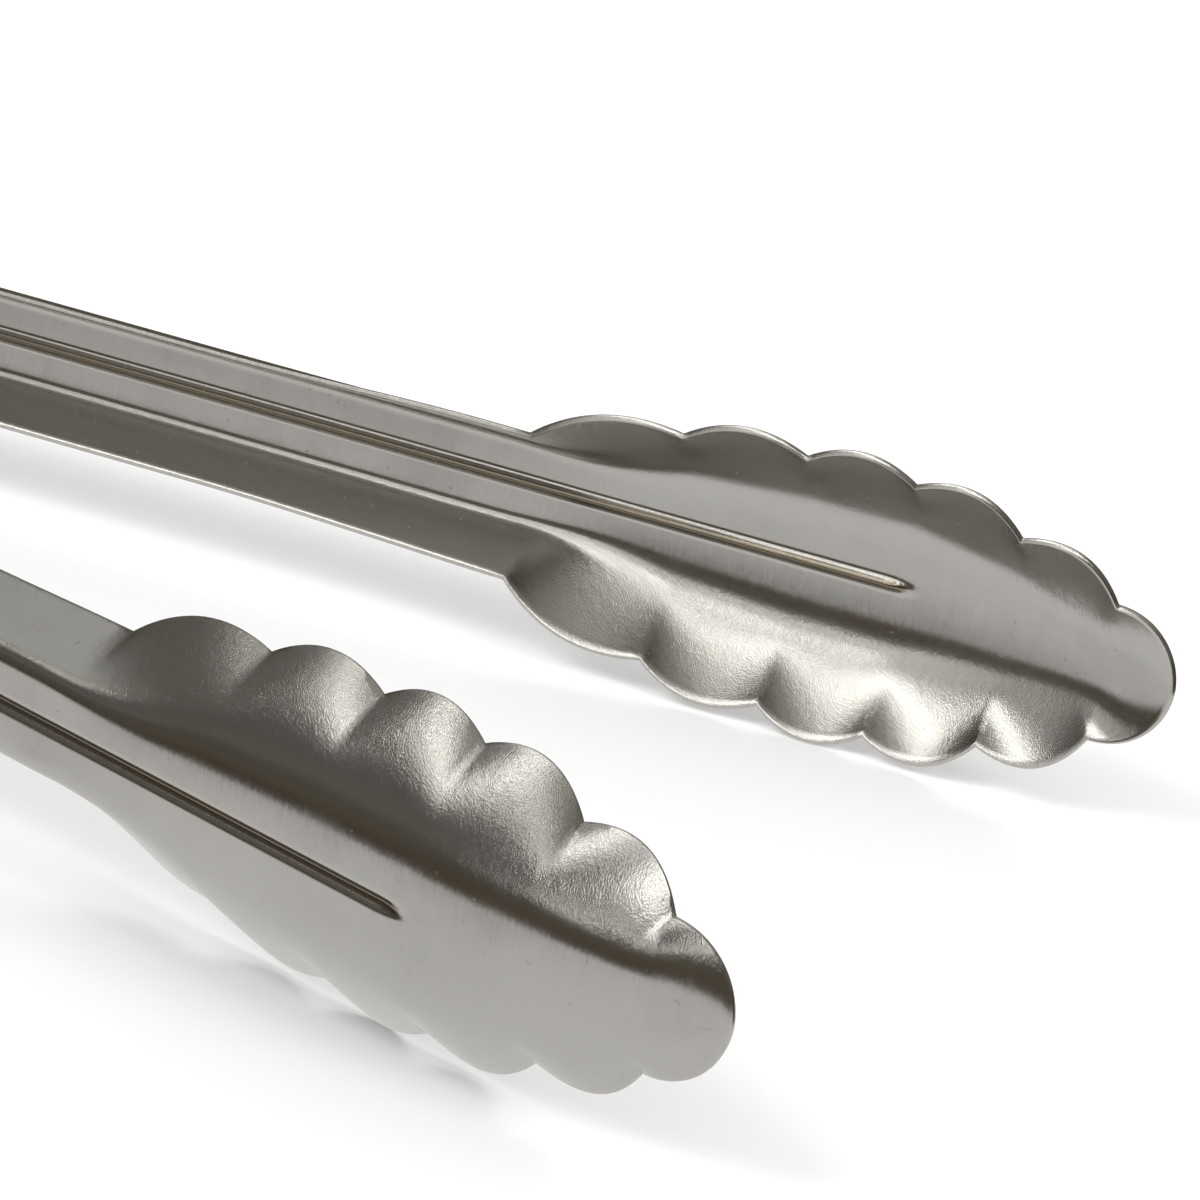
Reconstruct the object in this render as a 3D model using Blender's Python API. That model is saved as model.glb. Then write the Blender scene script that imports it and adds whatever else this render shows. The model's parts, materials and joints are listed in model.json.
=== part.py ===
"""Spring loaded kitchen tongs, resting open on their side.

Two pressed stainless arms with scalloped heads swing on one rivet. A torsion spring, wound round a sleeve on
the rivet, pushes them apart until the front arm's stop corners meet the rear arm's web.

Row frame: +X from the hinge to the tips, +Y towards the rear arm, +Z up along the rivet. Each arm is worked out
in its own frame: x along the arm from the rivet, w across it (along +Z), h outwards from the plane in which the
two arms close.
"""

from math import asin, atan2, cos, hypot, pi, radians, sin, sqrt

import bmesh
import bpy
from mathutils import Vector

MM = 0.001

# Opening: each arm stands this far from the middle plane when the tongs rest open.
HALF_OPENING = radians(10.8)

# Sheet and channel of the arms, in mm. Corners and rims are half widths.
SHEET = 1.0
WEB_HEIGHT = 12.3
ARM_CORNER = 7.2
ARM_RIM = 10.9
ARM_RIM_HEIGHT = 1.4
ARM_FOLD = 2.0

# Lengths along an arm: rivet to neck, neck to the last notch between scallops, and the lobe beyond it.
ARM_LENGTH = 290.5
HEAD_LENGTH = 91.3
TIP_LOBE = 10.9
NECK_RIM = 12.0
HEAD_RIM = 20.5
WIDENING = 50.5
RIM_DROP = (-20.5, 9.5)

# The notches, as shares of the head's length and of its half width, and how far each scallop bulges between.
NOTCHES = ((0.0, NECK_RIM / HEAD_RIM), (0.252, 0.9), (0.459, 0.99), (0.642, 1.0), (0.827, 0.824), (1.0, 0.532))
SCALLOP_BULGES = (3.1, 3.0, 3.0, 3.5, 3.6)
TIP_BULGE = 3.0
SCALLOP_DROP = 0.25
SCALLOP_FADE = 1.6

# Web of the head: how much of its width stays flat, how sharply it then falls to the rims, its crown, and the
# nose that slopes to the tip. The nose and the pole on which its sections meet are measured back from the tip.
HEAD_EASE = (-6.0, 27.0)
FLAT_SHARE = 0.27
CROWN_SHARE = 0.12
FALL_POWER = 2.4
FLUTE_START = 0.4
FOLD_LIMIT = 0.8
NOSE_LENGTH = 48.0
POLE_BACK = 17.0

# Pressed groove along the middle of each web.
GROOVE_START = 48.0
GROOVE_BACK = 42.6
GROOVE_HALF_WIDTH = 1.25
GROOVE_DEPTH = 0.8
GROOVE_RUN_OUT = 2.0

# Hinge end.
EAR_GAP = 0.3
INNER_EAR = 7.2
HINGE_FOLD = 2.0
HEEL = 12.0
HEEL_FLAT = 4.0
HEEL_ROUND = 9.5
HEEL_EDGE_HEIGHT = 5.0
EAR_ROUND = 7.5
EAR_BACK = 9.5
EAR_BACK_HEIGHT = 3.0
EAR_FRONT = 18.0
EAR_FRONT_HEIGHT = 0.5
EAR_DEEP_SKIRT = -13.0
EAR_BLEND = (24.0, 78.0)
EAR_TURN = (-0.88 * pi, -0.22 * pi)
STOP_TURN = -0.6 * pi
TRIM_END = 52.0
TRIM_CLEARANCE = 0.2
TRIM_MARGIN = 4.0
STOP_BACK = 8.0
STOP_LAND = 4.0
STOP_GAP = 0.4

# Rivet, washer, sleeve and spring.
SEAT_GAP = 0.3
RUNNING_GAP = 0.1
RIVET_RADIUS = 2.0
RIVET_HEAD_RADIUS = 4.6
RIVET_HEAD_HEIGHT = 2.2
RIVET_HEAD_SIDE = 0.66
RIVET_TAIL_RADIUS = 3.6
RIVET_TAIL_HEIGHT = 1.5
RIVET_TAIL_FLAT = 2.52
RIVET_TAIL_ROUND = 0.75
WASHER_RADIUS = 4.6
WASHER_THICKNESS = 0.8
SLEEVE_WALL = 0.9
WIRE_RADIUS = 0.9
COIL_PLAY = 0.5
COIL_PITCH = 2.2
COIL_END_PLAY = 0.3
LEG_LENGTH = 34.0
LEG_END_ACROSS = 3.6

# How finely the pieces are divided.
BLEND_STEPS = 6
SCALLOP_STEPS = 6
HEEL_STEPS = 4
GROOVE_ROWS = 2
WEB_ROWS = 2
FOLD_ROWS = 4
WALL_ROWS = 4
EAR_STEPS = 8
ROUNDING_STEPS = 5
TURNED_STEPS = 32
COIL_STEPS = 9
SHARP = radians(35)

TIP = ARM_LENGTH + HEAD_LENGTH + TIP_LOBE
NOSE_START = TIP - NOSE_LENGTH
POLE = TIP - POLE_BACK
GROOVE_END = TIP - GROOVE_BACK
OUTER_EAR = INNER_EAR + EAR_GAP + SHEET
WEB_INSIDE = WEB_HEIGHT - SHEET
INNER_EAR_INSIDE = INNER_EAR - SHEET

# The head's rims stop short of the middle plane, because the sheet's inner edge hangs below its outer one.
HEAD_RIM_HEIGHT = 0.6 * SHEET

# The coil has as many half turns as fit between the inner ears; an odd number puts both legs on one side.
COIL_ROOM = 2 * (INNER_EAR_INSIDE - COIL_END_PLAY - WIRE_RADIUS)
COIL_HALF_TURNS = 2 * int((2 * COIL_ROOM / COIL_PITCH - 1) / 2) + 1

STAINLESS = (0.60, 0.59, 0.57, 1.0)
SPRING_STEEL = (0.50, 0.50, 0.49, 1.0)
RIVET_STEEL = (0.66, 0.65, 0.63, 1.0)


def clear_scene():
    for old in list(bpy.data.objects):
        bpy.data.objects.remove(old, do_unlink=True)


def metal(name, colour, roughness):
    material = bpy.data.materials.new(name)
    material.use_nodes = True
    shader = material.node_tree.nodes["Principled BSDF"]
    shader.inputs["Base Color"].default_value = colour
    shader.inputs["Metallic"].default_value = 1.0
    shader.inputs["Roughness"].default_value = roughness
    return material


def ease(value, start, end):
    """0 before start, 1 after end, and a smooth change between."""
    share = min(1.0, max(0.0, (value - start) / (end - start)))
    return share * share * (3.0 - 2.0 * share)


def mix(a, b, share):
    return a + (b - a) * share


# Each arm's skin: sections that run from the spine line, w = 0, out to one rim.


def web_height(x):
    """Height of the spine: the heel curves in behind the rivet, and the nose slopes down to the tip."""
    if x < -HEEL_FLAT:
        return WEB_HEIGHT - HEEL_ROUND + sqrt(HEEL_ROUND**2 - (x + HEEL_FLAT) ** 2)
    if x > NOSE_START:
        return WEB_HEIGHT - (WEB_HEIGHT - HEAD_RIM_HEIGHT) * ((x - NOSE_START) / (NOSE_LENGTH - TIP_BULGE)) ** 2
    return WEB_HEIGHT


def groove_depth(x, w):
    across = min(1.0, abs(w) / GROOVE_HALF_WIDTH)
    along = ease(x, GROOVE_START, GROOVE_START + 3 * GROOVE_RUN_OUT)
    along *= 1.0 - ease(x, GROOVE_END - GROOVE_RUN_OUT, GROOVE_END)
    return GROOVE_DEPTH * along * 0.5 * (1.0 + cos(pi * across))


def straight_rim(x, ear):
    """The rim's half width and height between the heel and the neck, for the arm whose ears reach out to ear."""
    opened = ease(x, *EAR_BLEND)
    widened = ease(x, ARM_LENGTH - WIDENING, ARM_LENGTH)
    half_width = mix(ear, mix(ARM_RIM, NECK_RIM, widened), opened)
    height = mix(EAR_DEEP_SKIRT, ARM_RIM_HEIGHT, ease(x, EAR_BLEND[0], TRIM_END))
    dropped = ease(x - ARM_LENGTH, *RIM_DROP)
    return half_width, mix(height, HEAD_RIM_HEIGHT, dropped)


def head_rim(steps):
    """Rim points of one side of the head, from the neck to the tip: base point, outward direction and bulge."""
    notches = [Vector((ARM_LENGTH + HEAD_LENGTH * along, HEAD_RIM * across)) for along, across in NOTCHES]
    points = []
    for start, end, height in zip(notches, notches[1:], SCALLOP_BULGES):
        along = end - start
        out = Vector((-along.y, along.x)).normalized()
        for step in range(steps):
            share = step / steps
            points.append((start + along * share, out, 4.0 * height * share * (1.0 - share)))
    last = notches[-1]
    depth = TIP_LOBE - TIP_BULGE
    for step in range(steps + 1):
        turn = pi / 2 * step / steps
        base = Vector((last.x + depth * sin(turn), last.y * cos(turn)))
        out = Vector((last.y * sin(turn), depth * cos(turn))).normalized()
        points.append((base, out, TIP_BULGE * sin(turn) ** 2))
    return points


def sections(ear, straight_stations, steps):
    """Every section of one side, heel to tip, as (spine x, base rim point, rim height, outward, bulge)."""
    found = []
    for x in straight_stations:
        half_width, height = straight_rim(x, ear)
        found.append((x, Vector((x, half_width)), height, Vector((0.0, 1.0)), 0.0))
    for base, out, bulge in head_rim(steps):
        spine = base.x
        if spine > NOSE_START:
            share = (spine - NOSE_START) / (NOSE_LENGTH - TIP_BULGE)
            spine = mix(NOSE_START, POLE, share * (2.0 - share))
        height = straight_rim(base.x, ear)[1]
        found.append((spine, base, height, out, bulge))
    return found


def head_half_width(x):
    """The head's half width at x before the scallops bulge: straight from notch to notch, then round the tip."""
    along = (x - ARM_LENGTH) / HEAD_LENGTH
    for (start, low), (end, high) in zip(NOTCHES, NOTCHES[1:]):
        if along <= end:
            return HEAD_RIM * mix(low, high, max(0.0, (along - start) / (end - start)))
    past = min(1.0, HEAD_LENGTH * (along - 1.0) / (TIP_LOBE - TIP_BULGE))
    return HEAD_RIM * NOTCHES[-1][1] * sqrt(1.0 - past * past)


def head_height(x, w, rim_height):
    """Height of the head's skin: the crowned flat, then the fall to the rim."""
    top = web_height(x)
    half_width = head_half_width(x)
    if half_width == 0.0:
        return top
    across = min(1.0, abs(w) / half_width)
    fall = max(0.0, (across - FLAT_SHARE) / (1.0 - FLAT_SHARE))
    return mix(top, rim_height, CROWN_SHARE * across * across + (1.0 - CROWN_SHARE) * fall**FALL_POWER)


def arm_rows(section, ear):
    """Half a channel section, spine first: flat web, fold and straight wall."""
    spine, base, rim_height = section[:3]
    start = Vector((spine, 0.0))
    reach = (base - start).length
    aim = (base - start) / reach
    opened = ease(base.x, *EAR_BLEND)
    corner = min(reach, mix(ear, ARM_CORNER, opened))

    def web(run):
        x = spine + aim.x * run
        return Vector((x, aim.y * run, web_height(x)))

    meet = web(corner)
    rim = Vector((base.x, base.y, rim_height))
    wall = rim - meet
    fold = min(mix(HINGE_FOLD, ARM_FOLD, opened), FOLD_LIMIT * wall.length)
    first = web(corner - fold)
    last = meet + wall.normalized() * fold
    rows = [(web(GROOVE_HALF_WIDTH * row / GROOVE_ROWS), 0.0) for row in range(GROOVE_ROWS)]
    rows += [(web(mix(GROOVE_HALF_WIDTH, corner - fold, row / WEB_ROWS)), 0.0) for row in range(WEB_ROWS)]
    for row in range(FOLD_ROWS + 1):
        part = row / FOLD_ROWS
        rows.append((first.lerp(meet, part).lerp(meet.lerp(last, part), part), 0.0))
    rows += [(last.lerp(rim, row / WALL_ROWS), row / WALL_ROWS) for row in range(1, WALL_ROWS + 1)]
    return rows


def head_rows(section, count):
    """Half a section of the head, spine first, over its rounded fall to the rim."""
    spine, base, rim_height = section[:3]
    runs = [GROOVE_HALF_WIDTH * row / GROOVE_ROWS for row in range(GROOVE_ROWS)]
    reach = (base - Vector((spine, 0.0))).length
    rest = count - GROOVE_ROWS - 1
    runs += [mix(GROOVE_HALF_WIDTH, reach, row / rest) for row in range(rest + 1)]
    flat = mix(FLAT_SHARE, 1.0, FLUTE_START)
    rows = []
    for run in runs:
        place = Vector((spine, 0.0)).lerp(base, run / reach)
        height = head_height(place.x, place.y, rim_height)
        rows.append((Vector((place.x, place.y, height)), max(0.0, (run / reach - flat) / (1.0 - flat))))
    return rows


def half_section(section, ear):
    """Points of one half section before pressing, spine first, each with how far down the wall it lies."""
    rows = arm_rows(section, ear)
    head = ease(section[1].x - ARM_LENGTH, *HEAD_EASE)
    if head == 0.0:
        return rows
    shaped = head_rows(section, len(rows))
    return [(arm[0].lerp(there[0], head), mix(arm[1], there[1], head)) for arm, there in zip(rows, shaped)]


def section_points(section, ear):
    """Points of one half section with its groove and scallop pressed, spine first, each as (x, w, h)."""
    out, bulge = section[3:]
    points = []
    for place, down in half_section(section, ear):
        push = bulge * down**SCALLOP_FADE
        sunk = groove_depth(place.x, place.y)
        points.append(place + Vector((out.x * push, out.y * push, -SCALLOP_DROP * push - sunk)))
    return points


def straight_stations():
    """Where the sections behind the neck stand: close together round the heel, the ears and the widening."""
    heel_turn = asin((HEEL - HEEL_FLAT) / HEEL_ROUND)
    heel = [-HEEL_FLAT - HEEL_ROUND * sin(heel_turn * step / HEEL_STEPS) for step in range(HEEL_STEPS + 1)]
    ears = [EAR_ROUND] + [mix(*EAR_BLEND, step / BLEND_STEPS) for step in range(BLEND_STEPS + 1)]
    groove = [GROOVE_START, GROOVE_START + 3 * GROOVE_RUN_OUT]
    widening = ARM_LENGTH - WIDENING
    plain = [mix(EAR_BLEND[1], widening, step / 3) for step in (1, 2)]
    neck = [widening + WIDENING * step / 5 for step in range(5)]
    return sorted(heel + ears + groove + plain + neck)


def arm_skin(name, side, ear, material, hinge):
    """The outer face of one arm as a grid, with the sheet's thickness added inwards."""
    columns = add_groove_end(sections(ear, straight_stations(), SCALLOP_STEPS))
    grid = bmesh.new()
    rows = []
    for index, section in enumerate(columns):
        points = section_points(section, ear)
        upper = [grid.verts.new((p.x * MM, side * p.z * MM, p.y * MM)) for p in points]
        if index == len(columns) - 1:
            lower = upper
        else:
            lower = [upper[0]] + [grid.verts.new((p.x * MM, side * p.z * MM, -p.y * MM)) for p in points[1:]]
        rows.append((upper, lower))
    for (upper, lower), (next_upper, next_lower) in zip(rows, rows[1:]):
        for here, there, flip in ((upper, next_upper, side > 0), (lower, next_lower, side < 0)):
            for a, b, c, d in zip(here, here[1:], there[1:], there):
                loop = (a, b, c, d) if flip else (d, c, b, a)
                grid.faces.new(loop)
    mesh = bpy.data.meshes.new(name)
    grid.to_mesh(mesh)
    grid.free()
    arm_object = bpy.data.objects.new(name, mesh)
    bpy.context.collection.objects.link(arm_object)
    arm_object.location = hinge
    arm_object.rotation_euler.z = side * HALF_OPENING
    mesh.materials.append(material)
    mesh.shade_smooth()
    mesh.set_sharp_from_angle(angle=SHARP)
    thickness = arm_object.modifiers.new("Sheet", "SOLIDIFY")
    thickness.thickness = SHEET * MM
    thickness.offset = -1.0
    thickness.use_even_offset = True
    thickness.use_quality_normals = True
    return arm_object


def add_groove_end(columns):
    """Extra sections on either side of the groove's end, so that the pressing stops in a short slope."""
    extra = []
    for before, after in zip(columns, columns[1:]):
        extra.append(before)
        for x in (GROOVE_END - GROOVE_RUN_OUT, GROOVE_END):
            if before[0] < x < after[0]:
                share = (x - before[0]) / (after[0] - before[0])
                base = before[1].lerp(after[1], share)
                out = before[3].lerp(after[3], share).normalized()
                height, bulge = (mix(before[i], after[i], share) for i in (2, 4))
                extra.append((x, base, height, out, bulge))
    return extra + [columns[-1]]


def prism(name, outline, half_width):
    """A closed prism along Z from an outline in the arm's x and h, in mm."""
    shape = bmesh.new()
    face = shape.faces.new([shape.verts.new((x * MM, h * MM, -half_width * MM)) for x, h in outline])
    swept = bmesh.ops.extrude_face_region(shape, geom=[face])
    moved = [item for item in swept["geom"] if isinstance(item, bmesh.types.BMVert)]
    bmesh.ops.translate(shape, vec=(0.0, 0.0, 2 * half_width * MM), verts=moved)
    bmesh.ops.recalc_face_normals(shape, faces=shape.faces)
    return object_from(name, shape)


def turned(name, profile, material=None):
    """A piece turned about Z from a profile of (radius, height) points in mm."""
    shape = bmesh.new()
    points = [shape.verts.new((radius * MM, 0.0, height * MM)) for radius, height in profile]
    closed = profile[0][0] > 0.0
    pairs = list(zip(points, points[1:])) + ([(points[-1], points[0])] if closed else [])
    edges = [shape.edges.new(pair) for pair in pairs]
    bmesh.ops.spin(
        shape,
        geom=points + edges,
        axis=(0, 0, 1),
        cent=(0, 0, 0),
        angle=2 * pi,
        steps=TURNED_STEPS,
        use_merge=True,
    )
    bmesh.ops.remove_doubles(shape, verts=shape.verts, dist=1e-6)
    bmesh.ops.recalc_face_normals(shape, faces=shape.faces)
    piece = object_from(name, shape)
    if material:
        piece.data.materials.append(material)
    piece.data.shade_smooth()
    piece.data.set_sharp_from_angle(angle=SHARP)
    return piece


def object_from(name, shape):
    mesh = bpy.data.meshes.new(name)
    shape.to_mesh(mesh)
    shape.free()
    piece = bpy.data.objects.new(name, mesh)
    bpy.context.collection.objects.link(piece)
    return piece


def cut(piece, cutter, name):
    """Takes the cutter, placed as the piece is, away from the piece."""
    cutter.location = piece.location
    cutter.rotation_euler = piece.rotation_euler
    cutter.hide_render = True
    cutter.display_type = "WIRE"
    modifier = piece.modifiers.new(name, "BOOLEAN")
    modifier.operation = "DIFFERENCE"
    modifier.object = cutter


def ear_outline(stop_corner):
    """Lower edge of an arm's ears, heel to rim, with the stop's corner behind the rivet if it has one."""
    edge = [(-HEEL - TRIM_MARGIN, HEEL_EDGE_HEIGHT), (-EAR_BACK, EAR_BACK_HEIGHT)]
    first, last = EAR_TURN
    if stop_corner:
        reach = 2 * HALF_OPENING
        depth = (WEB_INSIDE - STOP_GAP - STOP_BACK * sin(reach)) / cos(reach)
        edge += [(-STOP_BACK, -depth), (-STOP_BACK + STOP_LAND, -depth)]
        first = STOP_TURN
    turns = [mix(first, last, step / EAR_STEPS) for step in range(EAR_STEPS + 1)]
    edge += [(EAR_ROUND * cos(turn), EAR_ROUND * sin(turn)) for turn in turns]
    return edge + [(EAR_FRONT, EAR_FRONT_HEIGHT), (TRIM_END, ARM_RIM_HEIGHT - TRIM_CLEARANCE)]


def arm(name, side, ear, material, hinge, stop_corner):
    """One arm: the pressed sheet, trimmed to its ears and bored for the rivet."""
    sheet = arm_skin(name, side, ear, material, hinge)
    edge = ear_outline(stop_corner)
    below = [(edge[-1][0], 3 * EAR_DEEP_SKIRT), (edge[0][0], 3 * EAR_DEEP_SKIRT)]
    outline = [(x, side * h) for x, h in edge + below]
    cut(sheet, prism(name + "_trim", outline, 2 * ear), "Ears")
    bore = RIVET_RADIUS + RUNNING_GAP
    drill = turned(name + "_drill", [(0, -2 * ear), (bore, -2 * ear), (bore, 2 * ear), (0, 2 * ear)])
    cut(sheet, drill, "Rivet hole")
    return sheet


def rivet(material):
    """Domed head above the ears, and a formed tail below the washer."""
    under_head = OUTER_EAR + SEAT_GAP
    over_tail = -(OUTER_EAR + 2 * SEAT_GAP + WASHER_THICKNESS)
    tail_end = over_tail - RIVET_TAIL_HEIGHT
    rounding = [pi / 2 * step / ROUNDING_STEPS for step in range(ROUNDING_STEPS + 1)]
    profile = [(0.0, tail_end)]
    for turn in rounding:
        radius = mix(RIVET_TAIL_FLAT, RIVET_TAIL_RADIUS, sin(turn))
        profile.append((radius, tail_end + RIVET_TAIL_ROUND * (1.0 - cos(turn))))
    profile += [(RIVET_TAIL_RADIUS, over_tail), (RIVET_RADIUS, over_tail), (RIVET_RADIUS, under_head)]
    profile.append((RIVET_HEAD_RADIUS, under_head))
    for turn in rounding[:-1]:
        rise = mix(RIVET_HEAD_SIDE, RIVET_HEAD_HEIGHT, sin(turn))
        profile.append((RIVET_HEAD_RADIUS * cos(turn), under_head + rise))
    profile.append((0.0, under_head + RIVET_HEAD_HEIGHT))
    return turned("hinge_rivet", profile, material)


def washer(material):
    bore = RIVET_RADIUS + RUNNING_GAP
    top = -(OUTER_EAR + SEAT_GAP)
    bottom = top - WASHER_THICKNESS
    profile = [(bore, bottom), (WASHER_RADIUS, bottom), (WASHER_RADIUS, top), (bore, top)]
    return turned("rivet_washer", profile, material)


def sleeve(material):
    bore = RIVET_RADIUS + RUNNING_GAP
    half_length = INNER_EAR_INSIDE - SEAT_GAP
    outside = bore + SLEEVE_WALL
    profile = [(bore, -half_length), (outside, -half_length), (outside, half_length), (bore, half_length)]
    return turned("spring_sleeve", profile, material)


def spring_path():
    """Centre line of the wire, from the front arm's leg round the coil to the rear arm's leg, in mm."""
    radius = RIVET_RADIUS + RUNNING_GAP + SLEEVE_WALL + COIL_PLAY + WIRE_RADIUS
    rest_height = WEB_INSIDE - SEAT_GAP - WIRE_RADIUS
    lean = asin(rest_height / hypot(radius, LEG_LENGTH)) - atan2(radius, LEG_LENGTH)
    leg_angle = HALF_OPENING + lean
    sweep = COIL_HALF_TURNS * pi - 2 * leg_angle
    coil_half = 0.5 * COIL_PITCH * sweep / (2 * pi)
    start_angle = -leg_angle - pi / 2
    count = COIL_HALF_TURNS * COIL_STEPS
    coil = []
    for step in range(count + 1):
        turn = start_angle - sweep * step / count
        height = mix(-coil_half, coil_half, step / count)
        coil.append(Vector((radius * cos(turn), radius * sin(turn), height)))
    leg = Vector((cos(leg_angle), sin(leg_angle))) * LEG_LENGTH
    front_end = coil[0] + Vector((leg.x, -leg.y, coil_half - LEG_END_ACROSS))
    rear_end = coil[-1] + Vector((leg.x, leg.y, LEG_END_ACROSS - coil_half))
    return [front_end, coil[0].lerp(front_end, 0.5)] + coil + [coil[-1].lerp(rear_end, 0.5), rear_end]


def torsion_spring(material):
    path = spring_path()
    curve = bpy.data.curves.new("torsion_spring", "CURVE")
    curve.dimensions = "3D"
    curve.bevel_depth = WIRE_RADIUS * MM
    curve.bevel_resolution = 2
    curve.use_fill_caps = True
    curve.resolution_u = 1
    spline = curve.splines.new("POLY")
    spline.points.add(len(path) - 1)
    for point, place in zip(spline.points, path):
        point.co = (place.x * MM, place.y * MM, place.z * MM, 1.0)
    curve.materials.append(material)
    spring = bpy.data.objects.new("torsion_spring", curve)
    bpy.context.collection.objects.link(spring)
    return spring


def main():
    clear_scene()
    steel = metal("stainless", STAINLESS, 0.2)
    wire = metal("spring_wire", SPRING_STEEL, 0.3)
    rivet_steel = metal("rivet_steel", RIVET_STEEL, 0.25)
    widest = max((base + out * bulge).y for base, out, bulge in head_rim(SCALLOP_STEPS))
    tip_height = HEAD_RIM_HEIGHT - SCALLOP_DROP * TIP_BULGE
    front = TIP * cos(HALF_OPENING) - tip_height * sin(HALF_OPENING)
    back = HEEL * cos(HALF_OPENING) + web_height(-HEEL) * sin(HALF_OPENING)
    hinge = Vector((0.5 * (back - front), 0.0, widest)) * MM
    arm("rear_arm", 1, OUTER_EAR, steel, hinge, stop_corner=False)
    arm("front_arm", -1, INNER_EAR, steel, hinge, stop_corner=True)
    for piece in (rivet(rivet_steel), washer(rivet_steel), sleeve(rivet_steel), torsion_spring(wire)):
        piece.location = hinge


main()
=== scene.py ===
"""Spring loaded kitchen tongs: two pressed stainless arms, their rivet, washer, sleeve and spring.

Each arm is worked out in its own frame, in mm: x along the arm from the rivet, w across it along +Z, and h
outwards from the plane in which the two arms close. It is turned into the row frame when it is finished.
"""

import json
from math import asin, atan2, cos, hypot, pi, radians, sin, sqrt

import bmesh
import bpy
from mathutils import Matrix, Vector


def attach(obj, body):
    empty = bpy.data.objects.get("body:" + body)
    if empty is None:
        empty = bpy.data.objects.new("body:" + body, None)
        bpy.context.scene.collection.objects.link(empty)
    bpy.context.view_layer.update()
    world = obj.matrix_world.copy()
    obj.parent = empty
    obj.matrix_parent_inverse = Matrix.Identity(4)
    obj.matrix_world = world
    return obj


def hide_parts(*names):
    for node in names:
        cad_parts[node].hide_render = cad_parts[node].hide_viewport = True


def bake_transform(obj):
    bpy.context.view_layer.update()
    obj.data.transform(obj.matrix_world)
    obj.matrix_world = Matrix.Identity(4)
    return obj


MM = 0.001

# Opening, sheet and channel of the arms, in mm. Corners and rims are half widths.
HALF_OPENING = radians(10.8)
SHEET = 1.0
WEB_HEIGHT = 12.3
ARM_CORNER = 7.2
ARM_RIM = 10.9
ARM_RIM_HEIGHT = 1.4
ARM_FOLD = 2.0

# Lengths along an arm, and the head's outline. A notch is a share of the head's length and of its half width.
ARM_LENGTH = 290.5
HEAD_LENGTH = 91.3
TIP_LOBE = 10.9
NECK_RIM = 12.0
HEAD_RIM = 20.5
HEAD_RIM_HEIGHT = 0.6
WIDENING = 50.5
RIM_DROP = (-20.5, 9.5)
NOTCHES = (
    (0.0, NECK_RIM / HEAD_RIM),
    (0.252, 0.9),
    (0.459, 0.99),
    (0.642, 1.0),
    (0.827, 0.824),
    (1.0, 0.532),
)
SCALLOP_BULGES = (3.1, 3.0, 3.0, 3.5, 3.6)
TIP_BULGE = 3.0
SCALLOP_DROP = 0.25
SCALLOP_FADE = 1.6

# Web of the head: where it grows out of the channel, how much of its width stays flat, its crown, how sharply
# it then falls to the rims, and the nose that slopes to the tip. The nose, and the pole on which its sections
# meet, are measured back from the tip.
HEAD_EASE = (-6.0, 27.0)
FLAT_SHARE = 0.27
CROWN_SHARE = 0.12
FALL_POWER = 2.4
FLUTE_START = 0.4
FOLD_LIMIT = 0.8
NOSE_LENGTH = 48.0
POLE_BACK = 17.0

# Pressed groove along the middle of each web.
GROOVE_START = 48.0
GROOVE_BACK = 42.6
GROOVE_HALF_WIDTH = 1.25
GROOVE_DEPTH = 0.8
GROOVE_RUN_OUT = 2.0

# Hinge end.
EAR_GAP = 0.3
INNER_EAR = 7.2
HINGE_FOLD = 2.0
HEEL = 12.0
HEEL_FLAT = 4.0
HEEL_ROUND = 9.5
HEEL_EDGE_HEIGHT = 5.0
EAR_ROUND = 7.5
EAR_BACK = 9.5
EAR_BACK_HEIGHT = 3.0
EAR_FRONT = 18.0
EAR_FRONT_HEIGHT = 0.5
EAR_DEEP_SKIRT = -13.0
EAR_BLEND = (24.0, 78.0)
EAR_TURN = (-0.88 * pi, -0.22 * pi)
STOP_TURN = -0.6 * pi
TRIM_END = 52.0
TRIM_CLEARANCE = 0.2
TRIM_MARGIN = 4.0
TRIM_FLOOR = 3 * EAR_DEEP_SKIRT
STOP_BACK = 8.0
STOP_LAND = 4.0
STOP_GAP = 0.4

# Rivet, washer, sleeve and spring.
SEAT_GAP = 0.3
RUNNING_GAP = 0.1
RIVET_RADIUS = 2.0
RIVET_HEAD_RADIUS = 4.6
RIVET_HEAD_HEIGHT = 2.2
RIVET_HEAD_SIDE = 0.66
RIVET_TAIL_RADIUS = 3.6
RIVET_TAIL_HEIGHT = 1.5
RIVET_TAIL_FLAT = 2.52
RIVET_TAIL_ROUND = 0.75
WASHER_RADIUS = 4.6
WASHER_THICKNESS = 0.8
SLEEVE_WALL = 0.9
WIRE_RADIUS = 0.9
COIL_PLAY = 0.5
COIL_PITCH = 2.2
COIL_HALF_TURNS = 9
LEG_LENGTH = 34.0
LEG_END_ACROSS = 3.6
SMALL_ROUND = 0.18

# How finely the pieces are divided.
PLAIN_STEP = 3.0
HEEL_STEP = 0.8
SCALLOP_STEPS = 20
TIP_STEPS = 26
GROOVE_ROWS = 6
WEB_ROWS = 10
FOLD_ROWS = 16
WALL_ROWS = 16
EDGE_STEPS = 4
EDGE_ROUND = 0.3
EAR_STEPS = 24
TURNED_STEPS = 96
ROUNDING_STEPS = 10
COIL_STEPS = 22
LEG_STEPS = 12
WIRE_FACETS = 20
SHARP = radians(38)
MERGE = 1e-6

TIP = ARM_LENGTH + HEAD_LENGTH + TIP_LOBE
NOSE_START = TIP - NOSE_LENGTH
POLE = TIP - POLE_BACK
GROOVE_END = TIP - GROOVE_BACK
OUTER_EAR = INNER_EAR + EAR_GAP + SHEET
WEB_INSIDE = WEB_HEIGHT - SHEET
INNER_EAR_INSIDE = INNER_EAR - SHEET
BORE = RIVET_RADIUS + RUNNING_GAP

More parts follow.
